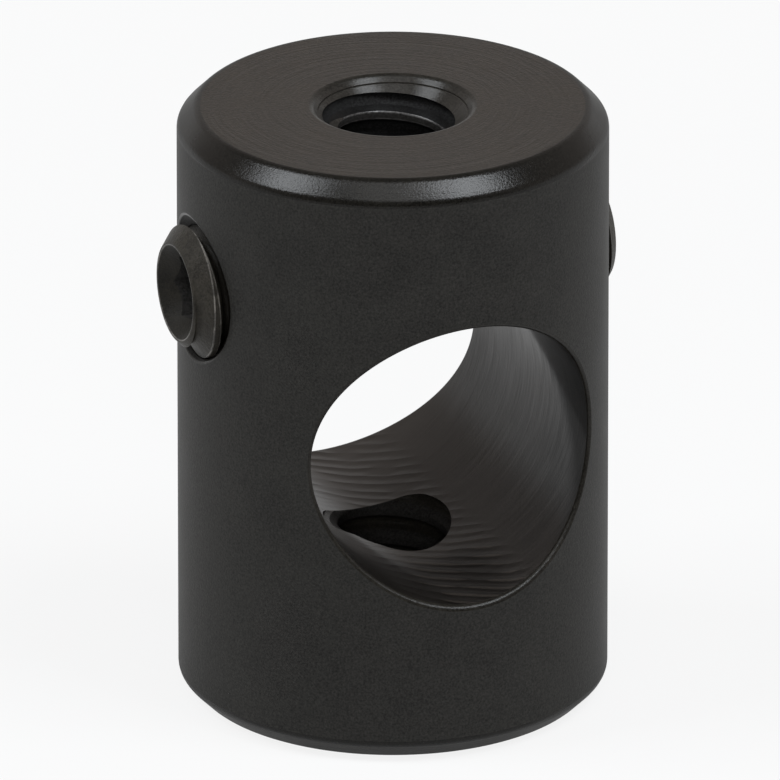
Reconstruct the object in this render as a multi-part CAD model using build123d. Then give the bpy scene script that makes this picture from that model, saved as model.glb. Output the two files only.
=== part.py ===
"""Rod clamp bracket of an optical cage system: a turned body with a cross bore for a 6 mm rod,
a tapped hole along its axis above and below the bore, and two set screws that grip the rod.

Millimetres, +Z up. The origin is where the body's axis crosses the rod's axis; the rod lies along Y.
"""
import os
from math import hypot, sqrt

from build123d import *

# Body, turned from round bar
body_diameter = 8.8
body_height = 12.7
top_chamfer = 0.4
base_chamfer = 0.4

# Rod bore, drilled across the body
rod_diameter = 6.0
rod_clearance = 0.03  # radial, so that the rod slides in by hand
rod_height = 6.4  # the rod's axis above the base
rod_edge_break = 0.1  # bevel at both mouths of the bore

# The holes along the body's axis, drilled for a number 4 thread
tap_drill = 2.26
sink_diameter = 3.32  # rim of the 90 degree countersink at each end

# Set screws, one from each side, square to the rod and level with its upper shoulder
thread_diameter = 2.82
thread_clearance = 0.02  # radial, between a screw and its hole
screw_below_bore_top = 0.13  # the screws' axis below the highest line of the rod bore
screw_edge_break = 0.13  # bevel at the mouths of the screws' holes
screw_length = 2.38
end_bevel = 0.38  # round the socket end, at 45 degrees
point_diameter = 1.3  # rim of the cup point, at the foot of a 45 degree bevel
cup_wall = 0.06  # width of that rim
cup_depth = 0.3
socket_across_flats = 1.27
socket_depth = 1.15
socket_mouth = 1.96  # rim of the 45 degree cone that leads into the hexagon

# How far each screw is turned back from gripping the rod, and its hexagon's turn in degrees
left_backed_off = 0.4
left_turn = 35
right_backed_off = 0.125
right_turn = 20

# Places that follow from these sizes
body_radius = body_diameter / 2
base_z = -rod_height
top_z = base_z + body_height
rod_radius = rod_diameter / 2
bore_radius = rod_radius + rod_clearance
screw_radius = thread_diameter / 2
screw_hole_radius = screw_radius + thread_clearance
screw_z = bore_radius - screw_below_bore_top
point_radius = point_diameter / 2
# A screw's tip stands here when the bevel of its point lies on the rod's shoulder
grip_x = rod_radius * sqrt(2) - (screw_z - point_radius)
through = 2 * (body_diameter + body_height)  # longer than any hole

FROM_BASE = (Align.CENTER, Align.CENTER, Align.MIN)
FROM_TOP = (Align.CENTER, Align.CENTER, Align.MAX)


def turned_bar():
    """The bar, faced to length and chamfered at both ends."""
    bar = Pos(0, 0, base_z) * Cylinder(body_radius, body_height, align=FROM_BASE)
    bar = chamfer(bar.edges().filter_by(GeomType.CIRCLE).sort_by(Axis.Z)[-1], top_chamfer)
    return chamfer(bar.edges().filter_by(GeomType.CIRCLE).sort_by(Axis.Z)[0], base_chamfer)


def axial_holes():
    """The drill that runs down the body's axis, with a countersink at each end."""
    sink_depth = (sink_diameter - tap_drill) / 2
    sink = Cone(tap_drill / 2, sink_diameter / 2, sink_depth, align=FROM_TOP)
    drill = Cylinder(tap_drill / 2, through)
    return drill + Pos(0, 0, top_z) * sink + Pos(0, 0, base_z) * Rot(180, 0, 0) * sink


def break_mouths(body, hole, radius, width):
    """Bevels the edges where a cross hole comes out through the round side of the body."""
    rims = []
    for edge in body.edges():
        points = [edge @ t for t in (0.1, 0.4, 0.6, 0.9)]
        from_hole = [(point - hole.position).cross(hole.direction).length for point in points]
        from_axis = [hypot(point.X, point.Y) for point in points]
        if all(abs(d - radius) < 1e-4 for d in from_hole) and all(abs(d - body_radius) < 1e-4 for d in from_axis):
            rims.append(edge)
    return chamfer(rims, width)


def clamp_body():
    """The turned bar with its rod bore, its axial holes and the hole that the two set screws share."""
    rod_axis = Axis((0, 0, 0), (0, 1, 0))
    screw_axis = Axis((0, 0, screw_z), (1, 0, 0))
    # turned by 15 degrees, so that the seam of the bore's wall runs clear of the other holes
    body = turned_bar() - Rot(90, 0, -15) * Cylinder(bore_radius, through)
    body = break_mouths(body, rod_axis, bore_radius, rod_edge_break)
    body -= Pos(0, 0, screw_z) * Rot(0, 90, 0) * Cylinder(screw_hole_radius, through)
    body = break_mouths(body, screw_axis, screw_hole_radius, screw_edge_break)
    return body - axial_holes()


def set_screw():
    """A cup point set screw, standing on its point with its hexagon socket at the top."""
    shank = Cylinder(screw_radius, screw_length, align=FROM_BASE)
    shank = chamfer(shank.edges().filter_by(GeomType.CIRCLE).sort_by(Axis.Z)[0], screw_radius - point_radius)
    shank = chamfer(shank.edges().filter_by(GeomType.CIRCLE).sort_by(Axis.Z)[-1], end_bevel)
    cup = Cone(point_radius - cup_wall, cup_wall, cup_depth, align=FROM_BASE)
    hexagon = RegularPolygon(socket_across_flats / 2, 6, major_radius=False)
    socket = Pos(0, 0, screw_length) * extrude(hexagon, -socket_depth)
    mouth_depth = (socket_mouth - socket_across_flats) / 2
    mouth = Cone(socket_across_flats / 2, socket_mouth / 2, mouth_depth, align=FROM_TOP)
    return shank - cup - socket - Pos(0, 0, screw_length) * mouth


def in_place(screw, side, backed_off, turn):
    """A set screw in its hole, its socket end outward, turned back from the rod."""
    return Pos(side * (grip_x + backed_off), 0, screw_z) * Rot(0, side * 90, 0) * Rot(0, 0, turn) * screw


parts = {
    "clamp_body": clamp_body(),
    "left_set_screw": in_place(set_screw(), -1, left_backed_off, left_turn),
    "right_set_screw": in_place(set_screw(), 1, right_backed_off, right_turn),
}

os.makedirs("parts", exist_ok=True)
for name, part in parts.items():
    part.label = name
    export_step(part, f"parts/{name}.step")
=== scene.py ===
# Looks of the rod clamp bracket: a turned body with a bore for the cage rod, tapped holes and two set screws.
# Sizes are in millimetres, and each mesh turns to metres when it is finished. The rod lies along Y,
# the set screws along X and the body's axis along Z, and the origin is where the body's axis meets the rod's.
# Angles run from +X towards +Y round the body's axis and from +Y towards +Z round the set screws'.
import math

import bmesh
import bpy
import numpy as np
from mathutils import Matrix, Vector


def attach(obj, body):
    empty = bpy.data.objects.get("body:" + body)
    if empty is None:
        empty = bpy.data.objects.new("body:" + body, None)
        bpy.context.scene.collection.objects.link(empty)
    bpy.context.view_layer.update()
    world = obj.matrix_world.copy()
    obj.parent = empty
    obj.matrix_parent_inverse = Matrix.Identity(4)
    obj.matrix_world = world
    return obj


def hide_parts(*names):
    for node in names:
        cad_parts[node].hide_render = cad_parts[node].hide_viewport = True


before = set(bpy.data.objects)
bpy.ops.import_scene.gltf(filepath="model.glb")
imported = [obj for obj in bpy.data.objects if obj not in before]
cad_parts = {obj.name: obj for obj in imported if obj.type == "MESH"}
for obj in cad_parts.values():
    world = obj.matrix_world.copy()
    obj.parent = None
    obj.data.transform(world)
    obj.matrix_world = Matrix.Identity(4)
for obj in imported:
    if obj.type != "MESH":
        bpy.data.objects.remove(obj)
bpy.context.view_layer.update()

mm = 0.001  # in metres

# An edge's softness is how far its rounding reaches from the corner, along the lines that meet there.
# Turned body
body_radius = 4.4
base, top = -6.4, 6.3
end_chamfer, end_softness = 0.39, 0.095
bar_core = 0.5  # inner radius of the end faces' rings, inside the axial holes

# Rod bore
bore_radius = 3.03
bore_softness = 0.13
overrun = 1.5  # how far the tools of the cross holes stand out of the round side

# Thread along the body's axis: number 4, 40 turns to the inch
pitch = 0.635
flank_slope = math.tan(math.radians(30))
tap_major, tap_minor = 1.44, 1.13
tap_crest_width = 0.16
tap_softness = 0.055, 0.024  # at the roots and the crests
tap_dark_radius = 1.30  # past it a flank is as dark as the root
tap_crest_depth = 0.71  # a crest's middle below the top face, where it faces the camera
tap_crest_angle = math.radians(68.6)
top_tap_ends = 1.2, 7.2  # from the open bore to outside the body
base_tap_ends = -7.4, -1.2
base_tap_turn = math.radians(292)  # of the base's thread from the top's

# Countersinks at both ends, 90 degrees
sink_radius, sink_softness = 1.66, 0.07
sink_core = 0.8  # where the tool begins, inside the thread
sink_groove = 1.505, 1.530, 1.534  # radii of a fine groove half way up: its start, its floor's end and its end

# Set screws and the tapped hole that they share
screw_height = 2.9
screw_major, screw_root = 1.41, 1.06
screw_crest_width = 0.15
screw_softness = 0.022, 0.04  # at the crests and the roots
screw_phase = math.radians(152)  # angle of a crest's middle, level with the body's axis
screw_clearance = 0.03
screw_hole_softness = 0.02
screw_hole_reach = 5.5  # of its tool, to both sides
rim_margin, rim_rise, rim_lean = 0.02, 0.08, 0.03  # its rim beyond its thread: all round, up and down, more up
rim_softness, rim_core = 0.035, 0.85
screw_length = 2.38
screw_bevel, bevel_depth = 0.38, 0.34
bevel_wear = 1.42, 1.385  # radii of the worn band at the bevel's foot
screw_end_softness = 0.02
screw_core = 0.3  # inner radius of the end faces' rings, inside the socket and the cup
point_radius = 0.65
envelope_margin = 0.25  # how far the tool that gives a screw its ends stands off its thread
blank_overrun = 0.8  # of the threaded bar at both its ends, before they are cut
cup_radius, cup_depth = 0.59, 0.3
hexagon = 1.27  # across flats
socket_depth, socket_cone = 1.15, 0.25
lead_radius, lead_softness = 0.985, 0.018  # rim of the cone that leads into the socket
left_end, right_end = -4.7727, 4.4977  # the socket ends at rest
left_hexagon, right_hexagon = math.radians(25), math.radians(20)

# Columns of points round each kind of solid
bar_columns, ring_columns, thread_columns = 256, 192, 120
envelope_columns, lead_columns, cup_columns = 160, 128, 96
rim_share = 0.88  # of a rim's rounding that a tool cuts, short of where it would graze the face

# Directions: two across an axis, then the axis itself
ALONG_X = np.array([(0, 1, 0), (0, 0, 1), (1, 0, 0)], float)
ALONG_Y = np.array([(1, 0, 0), (0, 0, -1), (0, 1, 0)], float)
ALONG_Z = np.array([(1, 0, 0), (0, 1, 0), (0, 0, 1)], float)

# Finishes, by their place in each piece's material slots
SIDE, ENDS, BORE, EDGES, HOLES, CHAMFER, CRESTS, SINKS, ROOTS, FLANKS = body_finishes = range(10)
STEEL, WORN, SOCKET, KEY = range(4)
SHARP = math.radians(32)  # a sharper turn between two faces stays an edge
WHITE = (1, 1, 1, 1)


def added(name, data):
    """A new object in the scene."""
    thing = bpy.data.objects.new(name, data)
    bpy.context.collection.objects.link(thing)
    return thing


def around(columns):
    """Angles of a ring's points."""
    return np.arange(columns) * 2 * math.pi / columns


def in_space(radius, along, angle, axes, centre=(0, 0, 0)):
    """Points at a distance from an axis, a place along it and an angle round it."""
    radius, along, angle = np.broadcast_arrays(radius, along, angle)
    flat = np.stack([radius * np.cos(angle), radius * np.sin(angle), along], -1)
    return flat @ axes + np.array(centre, float)


def solid(name, points, faces, finishes=SIDE):
    """A mesh object whose faces are turned outward."""
    mesh = bpy.data.meshes.new(name)
    mesh.from_pydata([tuple(p) for p in points], [], faces)
    for _ in body_finishes:  # empty slots, so that the finishes last through the cuts
        mesh.materials.append(None)
    mesh.polygons.foreach_set("material_index", np.broadcast_to(finishes, len(faces)).astype(np.int32))
    shape = bmesh.new()
    shape.from_mesh(mesh)
    bmesh.ops.recalc_face_normals(shape, faces=shape.faces)
    shape.to_mesh(mesh)
    shape.free()
    return added(name, mesh)


def ringed(name, rows, axes, centre=(0, 0, 0), columns=ring_columns, finishes=SIDE):
    """A closed solid from rings round an axis. A row is its radius and its place along the axis.
    The finishes are those of the first cap, of each band between two rows and of the last cap."""
    angle = around(columns)
    rings = [in_space(radius, along, angle, axes, centre) for radius, along in rows]
    points = np.concatenate(rings + [rings[0].mean(0)[None], rings[-1].mean(0)[None]])
    faces, kinds = [], []
    given = np.broadcast_to(finishes, len(rows) + 1)
    for row in range(len(rows) - 1):
        for column in range(columns):
            a, b = row * columns + column, row * columns + (column + 1) % columns
            faces.append((a, b, b + columns, a + columns))
            kinds.append(given[row + 1])
    last = (len(rows) - 1) * columns
    for column in range(columns):
        following = (column + 1) % columns
        faces += [(following, column, len(points) - 2), (last + column, last + following, len(points) - 1)]
        kinds += [given[0], given[-1]]
    return solid(name, points, faces, kinds)


def softened(corner, one_way, other_way, width, steps, share=1.0):
    """Points of a rounding that leaves one line and reaches another, both seen from their corner."""
    one_way, other_way = (np.stack(np.broadcast_arrays(*way), -1).astype(float) for way in (one_way, other_way))
    one_way /= np.linalg.norm(one_way, axis=-1, keepdims=True)
    other_way /= np.linalg.norm(other_way, axis=-1, keepdims=True)
    between = np.arccos(np.clip((one_way * other_way).sum(-1), -1, 1))
    weight = np.sin(between / 2)[..., None]
    corner = np.stack(np.broadcast_arrays(*corner), -1).astype(float)
    width = np.asarray(width, float)[..., None]
    start, finish = corner + width * one_way, corner + width * other_way
    points = []
    for t in np.linspace(0, share, steps):
        inner, middle, outer = (1 - t) ** 2, 2 * t * (1 - t) * weight, t * t
        point = (inner * start + middle * corner + outer * finish) / (inner + middle + outer)
        points.append((point[..., 0], point[..., 1]))
    return points


def soft_profile(corners, width):
    """A lathe profile with every inner corner rounded, in five rows for each."""
    rows = [corners[0]]
    for before, corner, after in zip(corners, corners[1:], corners[2:]):
        rows += softened(corner, np.subtract(before, corner), np.subtract(after, corner), width, 5)
    return [(float(radius), float(along)) for radius, along in rows + [corners[-1]]]


def mouth(radius, inward, width, face, steps):
    """Rows of a tool's end that cuts a softened rim where a hole opens on a face, from inside to outside.
    face gives the face's place and slope along the hole at each distance from the hole's axis."""
    place, slope = face(radius)
    rows = softened((radius, place), inward, (1, slope), width, steps, rim_share)
    length = np.hypot(1, slope)
    last_radius, last_place = rows[-1]
    off, onward = 0.25, 0.1  # the last row, square to the face and along it
    out = (last_radius + (off * -slope + onward) / length, last_place + (off + onward * slope) / length)
    return rows + [out]


def round_side(angle):
    """The body's round side, as a horizontal hole across it sees it."""
    def face(radius):
        place = np.sqrt(body_radius ** 2 - (radius * np.cos(angle)) ** 2)
        return place, -radius * np.cos(angle) ** 2 / place
    return face


def flat_face(place):
    """A flat end, as a hole square to it sees it."""
    return lambda radius: (place, 0.0)


def flipped(rows):
    """The same rows for the other end of a hole."""
    return [(radius, -along) for radius, along in reversed(rows)]


def thread(name, profile, ends, start, axes, centre=(0, 0, 0)):
    """A right-hand threaded bar that reaches past both ends. The profile gives height, radius and finish
    over one pitch, and start is the angle at which the profile's zero height lies at zero along the axis."""
    low, high = ends
    columns = thread_columns
    rows_a_turn = len(profile)
    first = math.floor(low / pitch) - 1
    turns = math.ceil((high - low) / pitch) + 2
    rows = turns * rows_a_turn
    angle = around(columns)
    points = []
    for row in range(rows + 1):
        height, radius, _ = profile[row % rows_a_turn]
        along = pitch * (first + row // rows_a_turn + angle / (2 * math.pi)) + height
        points.append(in_space(radius, along, angle + start, axes, centre))
    points = np.concatenate(points)

    def at(row, column):
        """Number of a point. The column after the last is the first, one turn on."""
        return (row + rows_a_turn * (column // columns)) * columns + column % columns

    faces, kinds = [], []
    for row in range(rows):
        for column in range(columns):
            if column < columns - 1 or row + rows_a_turn < rows:
                faces.append((at(row, column), at(row, column + 1), at(row + 1, column + 1), at(row + 1, column)))
                kinds.append(profile[row % rows_a_turn][2])
    low_loop = [at(0, c) for c in range(columns)] + [at(r, 0) for r in range(rows_a_turn, 0, -1)]
    high_loop = [at(rows, c) for c in range(columns)]
    high_loop += [at(r, columns - 1) for r in range(rows - 1, rows - rows_a_turn - 1, -1)]
    for loop, spot in ((low_loop, first * pitch), (high_loop, (first + turns + 1) * pitch)):
        points = np.concatenate([points, in_space(0, spot, 0, axes, centre)[None]])
        faces += [(a, b, len(points) - 1) for a, b in zip(loop, loop[1:] + loop[:1])]
        kinds += [kinds[0]] * len(loop)
    return solid(name, points, faces, kinds)


def ridge(outer, inner, crest, softness, rounded, flats, flank, split=None):
    """One pitch of a 60 degree thread whose ridge is centred at zero height, with its corners rounded.
    softness, and the finishes of the roundings and the flats, are given for the outer radius and then the
    inner. flank is the finish between them; past the split radius it is the outer rounding's."""
    width = (outer - inner) * flank_slope
    root = pitch - crest - 2 * width
    half = crest / 2
    corners = [(-half, outer), (half, outer), (half + width, inner), (half + width + root, inner)]
    lines = [(corners[3][0] - pitch, inner)] + corners + [(corners[0][0] + pitch, outer)]
    rows = []
    for before, corner, after in zip(lines, lines[1:], lines[2:]):
        level = 0 if corner[1] == outer else 1
        points = softened(corner, np.subtract(before, corner), np.subtract(after, corner), softness[level], 4)
        down_flank = after[1] != corner[1]
        kinds = [rounded[level]] * 3 + [flank if down_flank else flats[level]]
        new = [(float(height), float(radius), kind) for (height, radius), kind in zip(points, kinds)]
        if split and down_flank:
            share = (corner[1] - split) / (corner[1] - after[1])
            near, far = (rounded[0], flank) if level == 0 else (flank, rounded[0])
            new[-1] = new[-1][:2] + (near,)
            new.append((corner[0] + share * (after[0] - corner[0]), split, far))
        rows += new
    return rows


def cut(thing, tools, operation="DIFFERENCE"):
    """Cuts a solid with tools, one after the other. What they hold is taken away, or kept by INTERSECT."""
    for tool in tools:
        step = thing.modifiers.new(tool.name, "BOOLEAN")
        step.operation = operation
        step.solver = "EXACT"
        step.object = tool
    bpy.context.view_layer.update()
    mesh = bpy.data.meshes.new_from_object(thing.evaluated_get(bpy.context.evaluated_depsgraph_get()))
    thing.modifiers.clear()
    thing.data = mesh
    for tool in tools:
        bpy.data.objects.remove(tool)
    return thing


def points_of(mesh):
    """The places of a mesh's points."""
    points = np.zeros((len(mesh.vertices), 3), np.float32)
    mesh.vertices.foreach_get("co", points.ravel())
    return points


def finished(thing, name, true_normals, materials):
    """Turns a mesh to metres, shades it smooth between its sharp edges and gives it its materials."""
    mesh = thing.data
    mesh.shade_smooth()
    mesh.set_sharp_from_angle(angle=SHARP)
    normals = np.zeros((len(mesh.loops), 3), np.float32)
    mesh.corner_normals.foreach_get("vector", normals.ravel())
    true_normals(mesh, normals)
    mesh.vertices.foreach_set("co", (points_of(mesh) * mm).ravel())
    mesh.normals_split_custom_set(normals)
    thing.name = mesh.name = name
    for spot, material in enumerate(materials):
        mesh.materials[spot] = material
    while len(mesh.materials) > len(materials):
        mesh.materials.pop()
    mesh.update()
    return thing


def loops_of(mesh):
    """Each loop's point and finish, and the flat normal of its face."""
    which = np.zeros(len(mesh.loops), np.int32)
    mesh.loops.foreach_get("vertex_index", which)
    totals = np.array([face.loop_total for face in mesh.polygons])
    kinds = np.repeat([face.material_index for face in mesh.polygons], totals)
    flats = np.repeat([face.normal[:] for face in mesh.polygons], totals, axis=0)
    return points_of(mesh)[which], kinds, flats


def body_normals(mesh, normals):
    """The exact normals of the round side, the flat ends and the bore's wall."""
    place, kinds, flats = loops_of(mesh)
    side = (kinds == SIDE) & (np.abs(flats[:, 2]) < 0.01)
    normals[side] = place[side] * (1, 1, 0)
    flat = (kinds == ENDS) & (np.abs(flats[:, 2]) > 0.9999)
    normals[flat] = np.sign(flats[flat]) * (0, 0, 1)
    wall = (kinds == BORE) & (np.abs(flats[:, 1]) < 0.001)
    normals[wall] = -place[wall] * (1, 0, 1)
    normals /= np.linalg.norm(normals, axis=1, keepdims=True)


def screw_normals(mesh, normals):
    """The exact normals of the flat ends."""
    _, _, flats = loops_of(mesh)
    flat = np.abs(flats[:, 0]) > 0.9999
    normals[flat] = np.sign(flats[flat]) * (1, 0, 0)


class Socket:
    """A node's output. Python's own operators on it add Math nodes."""

    def __init__(self, tree, output=None):
        self.tree, self.output = tree, output

    def node(self, kind, settings=None, inputs=None, output=0):
        """Adds a node, gives it its settings, and then its sockets' values or links."""
        made = self.tree.nodes.new("ShaderNode" + kind)
        for name, value in (settings or {}).items():
            setattr(made, name, value)
        for name, value in (inputs or {}).items():
            if isinstance(value, Socket):
                self.tree.links.new(value.output, made.inputs[name])
            else:
                made.inputs[name].default_value = value
        return Socket(self.tree, made.outputs[output] if len(made.outputs) else None)

    def maths(self, operation, *values):
        return self.node("Math", {"operation": operation}, dict(enumerate(values)))

    def __add__(self, other):
        return self.maths("ADD", self, other)

    def __radd__(self, other):
        return self.maths("ADD", other, self)

    def __sub__(self, other):
        return self.maths("SUBTRACT", self, other)

    def __rsub__(self, other):
        return self.maths("SUBTRACT", other, self)

    def __mul__(self, other):
        return self.maths("MULTIPLY", self, other)

    def __rmul__(self, other):
        return self.maths("MULTIPLY", other, self)


def absolute(value):
    """The value without its sign."""
    return value.maths("ABSOLUTE", value)


def smooth(value, low, high, start=0.0, finish=1.0):
    """A soft step from start to finish between two values."""
    sockets = {"Value": value, "From Min": low, "From Max": high, "To Min": start, "To Max": finish}
    return value.node("MapRange", {"interpolation_type": "SMOOTHSTEP"}, sockets)


def mixed(amount, dark, light):
    """A colour between two, by an amount from 0 to 1."""
    return amount.node("Mix", {"data_type": "RGBA"}, {0: amount, 6: dark, 7: light}, 2)


def mottled(amount, colour, darkest, lightest):
    """A colour times a share that goes from darkest to lightest, by an amount from 0 to 1."""
    dark, light = (tuple(share * c for c in colour) + (1,) for share in (darkest, lightest))
    return mixed(amount, dark, light)


def noise(place, scale, detail, rough):
    """Noise whose scale is in blobs to the millimetre."""
    return place.node("TexNoise", None, {"Vector": place, "Scale": scale, "Detail": detail, "Roughness": rough})


def stretched(place, x, y, z):
    """The place, scaled in each direction."""
    return place.node("VectorMath", {"operation": "MULTIPLY"}, {0: place, 1: (x, y, z)})


def in_millimetres(start):
    """The place on the object, in millimetres."""
    return stretched(start.node("TexCoord", output="Object"), 1 / mm, 1 / mm, 1 / mm)


def part_of(place, axis):
    """One coordinate of a place."""
    return place.node("SeparateXYZ", None, {"Vector": place}, axis)


def parts_of(place):
    """The three coordinates of a place."""
    return (part_of(place, axis) for axis in range(3))


def axis_distance(place):
    """The distance from the body's axis."""
    flat = stretched(place, 1, 1, 0)
    return flat.node("VectorMath", {"operation": "LENGTH"}, {0: flat}, "Value")


def bumped(height):
    """A normal from a height in millimetres."""
    return height.node("Bump", None, {"Height": height, "Distance": mm, "Strength": 1.0})


def begun(name):
    """A new material, its surface shader and the place on the object."""
    material = bpy.data.materials.new(name)
    material.use_nodes = True
    tree = material.node_tree
    shader = next(node for node in tree.nodes if node.type == "BSDF_PRINCIPLED")
    return material, shader, in_millimetres(Socket(tree))


def wear(material, shader, **inputs):
    """Sets or links the shader's sockets."""
    for name, value in inputs.items():
        socket = shader.inputs[name.replace("_", " ")]
        if isinstance(value, Socket):
            material.node_tree.links.new(value.output, socket)
        else:
            socket.default_value = value


def black_anodised(name, height, colour, rough, ior, speckle=0.5, mottling=0.15, dulled=0.0, gloss=None,
                   painted_light=None):
    """Black dyed oxide on aluminium: a faint mottle and a fine grain over the tool marks.
    height gives the marks in millimetres at a place; colour is the middle tone. Where dulled is given,
    the surface grows that much rougher towards a glancing view. gloss gives the weight of a smooth
    film at a place, and painted_light how far the colour is lifted or lowered there, as painted light and shade."""
    material, shader, place = begun(name)
    mottle = noise(place, 0.9, 3, 0.6) - 0.5
    grain = noise(place, 22, 2, 0.7) - 0.5
    # painted light and shade, where given, lifts or lowers the colour
    amount = mottle * (mottling * 4) + grain * (speckle * 4) + (painted_light(place) + 0.5 if painted_light else 0.5)
    glancing = place.node("LayerWeight", None, {"Blend": 0.5}, "Facing")
    wear(material, shader, Base_Color=mottled(amount, colour, 0.3, 1.7), IOR=ior, Normal=bumped(height(place)),
         Roughness=rough + mottle * 0.12 + smooth(glancing, 0.42, 0.75) * dulled)
    if gloss:
        wear(material, shader, Coat_Weight=gloss(place), Coat_Roughness=0.12, Coat_IOR=1.45)
    return material


def black_oxide(name, colour, rough, ior, patchy=1.8):
    """Blackened steel of the set screws: dull and mottled, and darker where the thread runs in its hole, as painted
    shade.
    """
    material, shader, place = begun(name)
    mottle = noise(place, 2.6, 4, 0.7) - 0.5
    grain = noise(place, 20, 3, 0.7) - 0.5
    # painted shade: the steel is darker inside the body's hole and lighter outside it
    amount = mottle * patchy + grain * 2 + smooth(absolute(part_of(place, 0)), 4.0, 4.3, -0.6, 0.5)
    wear(material, shader, Base_Color=mottled(amount, colour, 0.45, 1.55), Roughness=rough + grain * 0.25,
         IOR=ior, Normal=bumped(grain * 0.012 + mottle * 0.03))
    return material


# Marks: each gives a height in millimetres at a place
def side_marks(place):
    """The lathe's feed on the round side, fine level lines, under the grain of the etched oxide."""
    return noise(stretched(place, 0.25, 0.25, 22), 1.0, 3, 0.6) * 0.002 + noise(place, 18, 2, 0.7) * 0.006


def chamfer_marks(place):
    """The chamfer tool's lines and its coarser grain."""
    lines = noise(stretched(place, 0.5, 0.5, 26), 1.0, 2, 0.6)
    return lines * 0.003 + noise(place, 20, 2, 0.7) * 0.005


def end_marks(place):
    """Facing cuts: fine rings round the body's axis, each a little different."""
    distance = axis_distance(place)
    ring = distance.node("CombineXYZ", None, {"X": distance * 8, "Y": 0.0, "Z": 0.0})
    along = stretched(place, 0.45, 0.45, 0)
    both = ring.node("VectorMath", {"operation": "ADD"}, {0: ring, 1: along})
    return noise(both, 1.0, 4, 0.75) * 0.014 + noise(place, 18, 2, 0.7) * 0.007


def hole_marks(place):
    """The tap's chatter."""
    return noise(stretched(place, 5, 5, 14), 1.0, 3, 0.6) * 0.002


def sink_marks(place):
    """Rings left by the countersink."""
    return noise(stretched(place, 0.6, 0.6, 24), 1.0, 3, 0.6) * 0.005 + noise(place, 14, 2, 0.6) * 0.003


def chatter(place):
    """Thin slanting ridges across the bore's floor, from 0 between them to 1 along a crest."""
    x, y, z = parts_of(place)
    drift = noise(place, 0.8, 1, 0.4) * 0.35
    spacing = 0.42  # of the ridges
    wave = (y + x * 0.62 + z * 1.02 + drift) * (math.pi / spacing)
    scallop = 1 - absolute(wave.maths("SINE", wave))
    floor_part = smooth(z, -2.7, -2.0, 1.0, 0.0) * smooth(x, -1.5, -0.3) * smooth(x, 1.0, 1.6, 1.0, 0.0)
    patches = smooth(noise(place, 1.1, 1, 0.4), 0.35, 0.6, 0.1, 1.0) + smooth(y, -1.2, -0.4, 0.5, 0.0)
    return scallop * floor_part * patches


def bore_marks(place):
    """The reamer's marks: fine rings round the rod's axis, and its chatter."""
    rings = noise(stretched(place, 0.5, 11, 0.5), 1.0, 3, 0.65) * 0.003
    fine = noise(stretched(place, 1.2, 28, 1.2), 1.0, 2, 0.6) * 0.0022
    return rings + fine + chatter(place) * 0.034


def dull_and_shaded_parts(place):
    """From 0 to 1 where the wall is less glossy and its colour darker as painted shade: the floor's front, and above
    the front mouth's middle.
    """
    x, y, z = parts_of(place)
    floor_front = smooth(y, -2.6, -1.2, 1.0, 0.0) * smooth(x, 0.6, 1.5, 1.0, 0.0) * smooth(z, -2.4, -1.6, 1.0, 0.0)
    return floor_front + smooth(y - z, -2.1, -1.3, 1.0, 0.0)


def bore_painted_light(place):
    """Painted light and shade on the bore's colour: lifted most at its back, as painted light from the back mouth,
    and along the floor's crests, as painted highlights; lowered on the walls and where it's dull, as painted shade.
    """
    # painted highlights along the chatter's crests
    crests = smooth(chatter(place), 0.5, 1.0, 0.0, 1.0)
    # painted shade on the walls above the floor
    painted_wall_shade = smooth(part_of(place, 2), -1.9, -1.2, 0.0, 0.25)
    # painted light towards the back mouth, and painted shade at the dull parts
    return crests + smooth(part_of(place, 1), -3.0, 0.5, -0.4, 0.55) - painted_wall_shade - dull_and_shaded_parts(place) * 0.35


def bore_gloss(place):
    """The reamer's burnish, in streaks along the cut."""
    streaks = noise(stretched(place, 0.7, 24, 0.7), 1.0, 3, 0.6)
    return smooth(streaks, 0.2, 0.8, 0.18, 0.52) * (1 - dull_and_shaded_parts(place) * 0.8)


# The body: a chamfered bar, less the rod bore, the screws' hole and the axial holes
outline = [(bar_core, base), (body_radius - end_chamfer, base), (body_radius, base + end_chamfer),
           (body_radius, top - end_chamfer), (body_radius - end_chamfer, top), (bar_core, top)]
bar = ringed("bar", soft_profile(outline, end_softness), ALONG_Z, columns=bar_columns)
for face in bar.data.polygons:
    steep = abs(face.normal.z)
    face.material_index = SIDE if steep < 0.01 else ENDS if steep > 0.999 else CHAMFER

angle = around(ring_columns)
rod_mouth = mouth(bore_radius, (0, -1), bore_softness, round_side(angle), 8)
rod_mouth += [(rod_mouth[-1][0], body_radius + overrun)]
mouth_finishes = [EDGES] * len(rod_mouth)
rod_tool = ringed("rod bore", flipped(rod_mouth) + rod_mouth, ALONG_Y,
                  finishes=mouth_finishes + [BORE] + mouth_finishes)

screw_centre = (0, 0, screw_height)
screw_hole_profile = ridge(screw_major + screw_clearance, screw_root + screw_clearance, screw_crest_width,
                           (screw_hole_softness, screw_hole_softness), (HOLES, HOLES), (HOLES, HOLES), HOLES)
screw_hole = thread("screw hole", screw_hole_profile, (-screw_hole_reach, screw_hole_reach), screw_phase,
                    ALONG_X, screw_centre)
rim = screw_major + screw_clearance + rim_margin + (rim_rise + rim_lean * np.sin(angle)) * np.sin(angle) ** 2
place, _ = round_side(angle)(rim)
screw_mouth = [(rim_core, place - (rim - rim_core))] + mouth(rim, (-1, -1), rim_softness, round_side(angle), 5)
screw_mouth += [(screw_mouth[-1][0], body_radius + overrun)]
rim_finishes = [HOLES, HOLES] + [EDGES] * (len(screw_mouth) - 1)
mouth_tools = [ringed("screw mouth", rows, ALONG_X, screw_centre, finishes=kinds)
               for rows, kinds in ((screw_mouth, rim_finishes), (flipped(screw_mouth), rim_finishes[::-1]))]

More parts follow.
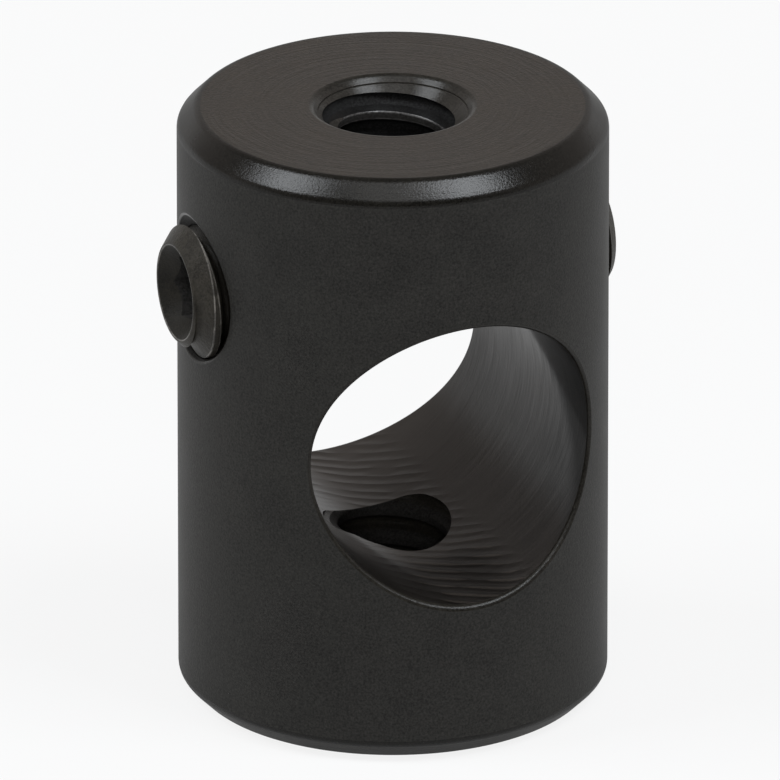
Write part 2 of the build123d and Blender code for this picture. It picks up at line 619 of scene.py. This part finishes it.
# In the taps the ridge is the groove that they cut, and its zero height lies at a root's middle
tap_root_width = pitch - tap_crest_width - 2 * (tap_major - tap_minor) * flank_slope
tap_profile = ridge(tap_major, tap_minor, tap_root_width, tap_softness, (ROOTS, CRESTS), (ROOTS, HOLES), FLANKS,
                    tap_dark_radius)
base_profile = [(height, radius, EDGES if kind == ROOTS else HOLES) for height, radius, kind in tap_profile]
tap_start = tap_crest_angle - 2 * math.pi * ((top - tap_crest_depth - pitch / 2) / pitch)
taps = [thread("top tap", tap_profile, top_tap_ends, tap_start, ALONG_Z),
        thread("base tap", base_profile, base_tap_ends, tap_start + base_tap_turn, ALONG_Z)]


def countersink(face):
    """Rows of a countersink's tool: a cone with a fine groove half way up and a soft rim on the face."""
    def depth(radius):
        return face - sink_radius + radius
    groove, floor_end, groove_end = sink_groove
    rows = [(sink_core, depth(sink_core)), (groove, depth(groove)), (floor_end, depth(groove)),
            (groove_end, depth(groove_end))]
    rows += mouth(sink_radius, (-1, -1), sink_softness, flat_face(face), 7)
    return rows + [(rows[-1][0], face + 1)]


top_sink = countersink(top)
sink_finishes = [SINKS] * 5 + [EDGES] * (len(top_sink) - 4)
sinks = [ringed("top sink", top_sink, ALONG_Z, finishes=sink_finishes),
         ringed("base sink", flipped(countersink(-base)), ALONG_Z, finishes=sink_finishes[::-1])]
body = cut(bar, [rod_tool, screw_hole] + mouth_tools + taps + sinks)


def set_screw(name, side, end, turn):
    """A cup point set screw in its place: threaded bar, bevelled ends, hexagon socket and cup."""
    inside = end - side * screw_length
    flat_radius = screw_major - screw_bevel

    def placed(start, rows):
        """Rows counted from a start along the screw, towards its socket end."""
        return [(float(radius), start + side * float(along)) for radius, along in rows]

    def on_bevel(radius):
        """The place of the socket end's bevel at a radius."""
        return screw_length - (radius - flat_radius) * bevel_depth / screw_bevel

    profile = ridge(screw_major, screw_root, screw_crest_width, screw_softness, (WORN, STEEL), (STEEL, STEEL),
                    STEEL)
    bar_ends = min(end, inside) - blank_overrun, max(end, inside) + blank_overrun
    blank = thread(name, profile, bar_ends, screw_phase, ALONG_X, screw_centre)
    wide = screw_major + envelope_margin
    corners = [(screw_core, 0), (point_radius, 0), (wide, wide - point_radius), (wide, on_bevel(wide)),
               (flat_radius, screw_length), (screw_core, screw_length)]
    rows = soft_profile(corners, screw_end_softness)
    bevel_row = len(rows) - 6  # the bevel is followed by one rounding of five rows and the last corner
    rows[bevel_row:bevel_row] = [(radius, on_bevel(radius)) for radius in bevel_wear]
    finishes = [STEEL] * (bevel_row + 1) + [WORN] + [STEEL] * 7
    envelope = ringed(name + " envelope", placed(inside, rows), ALONG_X, screw_centre, envelope_columns, finishes)
    blank = cut(blank, [envelope], "INTERSECT")

    # The hexagon: two rings of six corners, one at its floor and one outside the screw, and the middle of each end
    out = 0.5  # where its second ring lies
    six = around(6) + turn + math.pi / 6
    corner_radius = hexagon / math.sqrt(3)
    points = [in_space(corner_radius, end + side * along, six, ALONG_X, screw_centre)
              for along in (-socket_depth, out)]
    points += [in_space(0, end + side * along, 0, ALONG_X, screw_centre)[None]
               for along in (-(socket_depth + socket_cone), out)]
    faces = [(k, (k + 1) % 6, 6 + (k + 1) % 6, 6 + k) for k in range(6)]
    faces += [((k + 1) % 6, k, 12) for k in range(6)] + [(6 + k, 6 + (k + 1) % 6, 13) for k in range(6)]
    key = solid(name + " socket", np.concatenate(points), faces, KEY)

    # The cone that leads into the socket, and the cup: both run on outside the screw
    rim_rows = softened((lead_radius, 0), (-1, -1), (1, 0), lead_softness, 5, rim_share)
    cone = [(0.3, 0.3 - lead_radius)] + rim_rows + [(rim_rows[-1][0] + 0.05, 0.2), (0.2, 0.2)]
    lead_finishes = [SOCKET, SOCKET] + [WORN] * 5 + [SOCKET, SOCKET]
    lead = ringed(name + " lead", placed(end, cone), ALONG_X, screw_centre, lead_columns, lead_finishes)
    cup_rows = [(0.05, cup_depth), (cup_radius, 0), (0.75, -0.16), (0.05, -0.3)]
    cup = ringed(name + " cup", placed(inside, cup_rows), ALONG_X, screw_centre, cup_columns)
    return cut(blank, [key, lead, cup])


left = set_screw("left screw", -1, left_end, left_hexagon)
right = set_screw("right screw", 1, right_end, right_hexagon)

anodised = [
    black_anodised("turned side", side_marks, (0.0165, 0.0158, 0.0142), rough=0.55, ior=1.265),
    black_anodised("faced ends", end_marks, (0.0180, 0.0146, 0.0115), rough=0.42, ior=1.27),
    black_anodised("bored wall", bore_marks, (0.0148, 0.0124, 0.0105), rough=0.42, ior=1.15, speckle=0.25,
                   gloss=bore_gloss, painted_light=bore_painted_light),
    black_anodised("broken edges", side_marks, (0.0130, 0.0117, 0.0096), rough=0.30, ior=1.24),
    # tapped holes: the anodise a little lighter than the side, partly its own colour and partly painted light in the
    # holes' shade
    black_anodised("tapped holes", hole_marks, (0.020, 0.019, 0.018), rough=0.5, ior=1.12),
    black_anodised("chamfer", chamfer_marks, (0.0065, 0.0059, 0.0049), rough=0.21, ior=1.28, dulled=0.25),
    black_anodised("thread crests", hole_marks, (0.045, 0.043, 0.042), rough=0.3, ior=1.38, speckle=1.0,
                   mottling=1.0),
    black_anodised("countersinks", sink_marks, (0.0200, 0.0182, 0.0158), rough=0.21, ior=1.21, dulled=0.2),
    black_anodised("thread roots", hole_marks, (0.012, 0.012, 0.012), rough=0.7, ior=1.08),
    black_anodised("thread flanks", hole_marks, (0.006, 0.006, 0.006), rough=0.30, ior=1.14)]
steel = [
    black_oxide("blackened steel", (0.0230, 0.0205, 0.0165), rough=0.46, ior=1.22),
    black_oxide("worn edges", (0.080, 0.074, 0.066), rough=0.35, ior=1.32, patchy=7.0),
    black_oxide("socket", (0.0100, 0.0088, 0.0066), rough=0.55, ior=1.25),
    # key walls: lighter than the socket, as painted light that lifts the hexagon's shaded walls
    black_oxide("key walls", (0.026, 0.025, 0.024), rough=0.6, ior=1.1)]
turned_body = finished(body, "turned_body", body_normals, anodised)
left_screw = finished(left, "left_cup_point_screw", screw_normals, steel)
right_screw = finished(right, "right_cup_point_screw", screw_normals, steel)
for piece, node, rides_on, slot in ((turned_body, "clamp_body", "body", "anodised_body"),
                                    (left_screw, "left_set_screw", "left_screw", "black_steel"),
                                    (right_screw, "right_set_screw", "right_screw", "black_steel")):
    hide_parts(node)
    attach(piece, rides_on)


def towards(turn, height):
    """The direction to a place round the object. Turn goes from -Y towards +X."""
    return Vector((math.sin(turn) * math.cos(height), -math.cos(turn) * math.cos(height), math.sin(height)))


# Camera, at the photograph's angle. Its distance, the lamps and the floor are in metres.
azimuth, elevation, distance = math.radians(-21.866), math.radians(22.82), 0.5218
aim = Vector((0, 0, -0.05 * mm))
back = towards(azimuth, elevation)
lens = bpy.data.cameras.new("camera")
lens.lens, lens.sensor_width = 1179.2, 36
lens.shift_x, lens.shift_y = -0.00372, 0.00314
camera = added("camera", lens)
camera.location = aim + back * distance
camera.rotation_euler = (-back).to_track_quat("-Z", "Y").to_euler()
bpy.context.scene.camera = camera


def lamp(name, turn, height, reach, width, tall, power, colour=(1, 1, 1)):
    """A soft lamp aimed at the object. Turn and height are in degrees, turn from the camera towards its right."""
    light = bpy.data.lights.new(name, "AREA")
    light.shape, light.size, light.size_y = "RECTANGLE", width, tall
    light.energy, light.color = power, colour
    way = towards(math.radians(turn) + azimuth, math.radians(height))
    lit = added(name, light)
    lit.location = way * reach
    lit.rotation_euler = (-way).to_track_quat("-Z", "Y").to_euler()
    return lit


daylight = (0.92, 0.96, 1)
lamp("left softbox", -80, 53, 0.6, 0.24, 0.24, 2.4, daylight)
lamp("right softbox", 62, 60, 0.6, 0.24, 0.24, 2.8, daylight)
lamp("overhead softbox", 0, 68, 0.6, 0.35, 0.3, 0.85)
lamp("front fill", 0, 24, 0.7, 0.2, 0.2, 1.3).visible_glossy = False


def cleared(owner):
    """The start of a new shader for a material or a world."""
    owner.use_nodes = True
    owner.node_tree.nodes.clear()
    return Socket(owner.node_tree)


def rays(start):
    """Whether a ray comes from the camera, off a glossy surface or through a clear one."""
    return (start.node("LightPath", output=ray) for ray in ("Is Camera Ray", "Is Glossy Ray", "Is Transmission Ray"))


# Floor and surroundings: pale, and plain white where the camera or a reflection sees them
floor_mesh = bpy.data.meshes.new("floor")
floor_mesh.from_pydata([(x, y, base * mm) for x, y in ((-1, -1), (1, -1), (1, 1), (-1, 1))], [], [(0, 1, 2, 3)])
floor = added("floor", floor_mesh)
paper = bpy.data.materials.new("white paper")
start = cleared(paper)
seen, mirrored, through = rays(start)
matt = start.node("BsdfDiffuse", None, {"Color": (0.5, 0.5, 0.5, 1)})
glow = start.node("Emission", None, {"Color": WHITE, "Strength": 1.0})
mirrored = mirrored * smooth(axis_distance(in_millimetres(start)), 4.2, 8.0, 0.6, 1.0)  # its own shadow, close by
sheet = start.node("MixShader", None, {0: (seen + mirrored + through) * 0.85, 1: matt, 2: glow})
start.node("OutputMaterial", None, {"Surface": sheet})
floor_mesh.materials.append(paper)

world = bpy.data.worlds.new("studio")
bpy.context.scene.world = world
start = cleared(world)
seen, mirrored, through = rays(start)
across, along, up = parts_of(start.node("TexCoord", output="Generated"))
above = smooth(up, 0.05, 0.35)  # from the white backdrop to the dimmer room over it, and its dark ceiling
ceiling = mixed(smooth(up, 0.5, 0.8), (0.50, 0.455, 0.43, 1), (0.18, 0.17, 0.16, 1))
front = smooth(across * back.x + along * back.y, 0.1, 0.6)  # the dark side, where the camera stands
room = mixed(front, mixed(above, WHITE, ceiling), (0.06, 0.058, 0.056, 1))
room = mixed(seen, room, WHITE)
strength = seen + mirrored + through + (1 - seen - mirrored - through) * 0.45
sky = start.node("Background", None, {"Color": room, "Strength": strength})
start.node("OutputWorld", None, {"Surface": sky})

bpy.context.scene.view_settings.view_transform = "Standard"
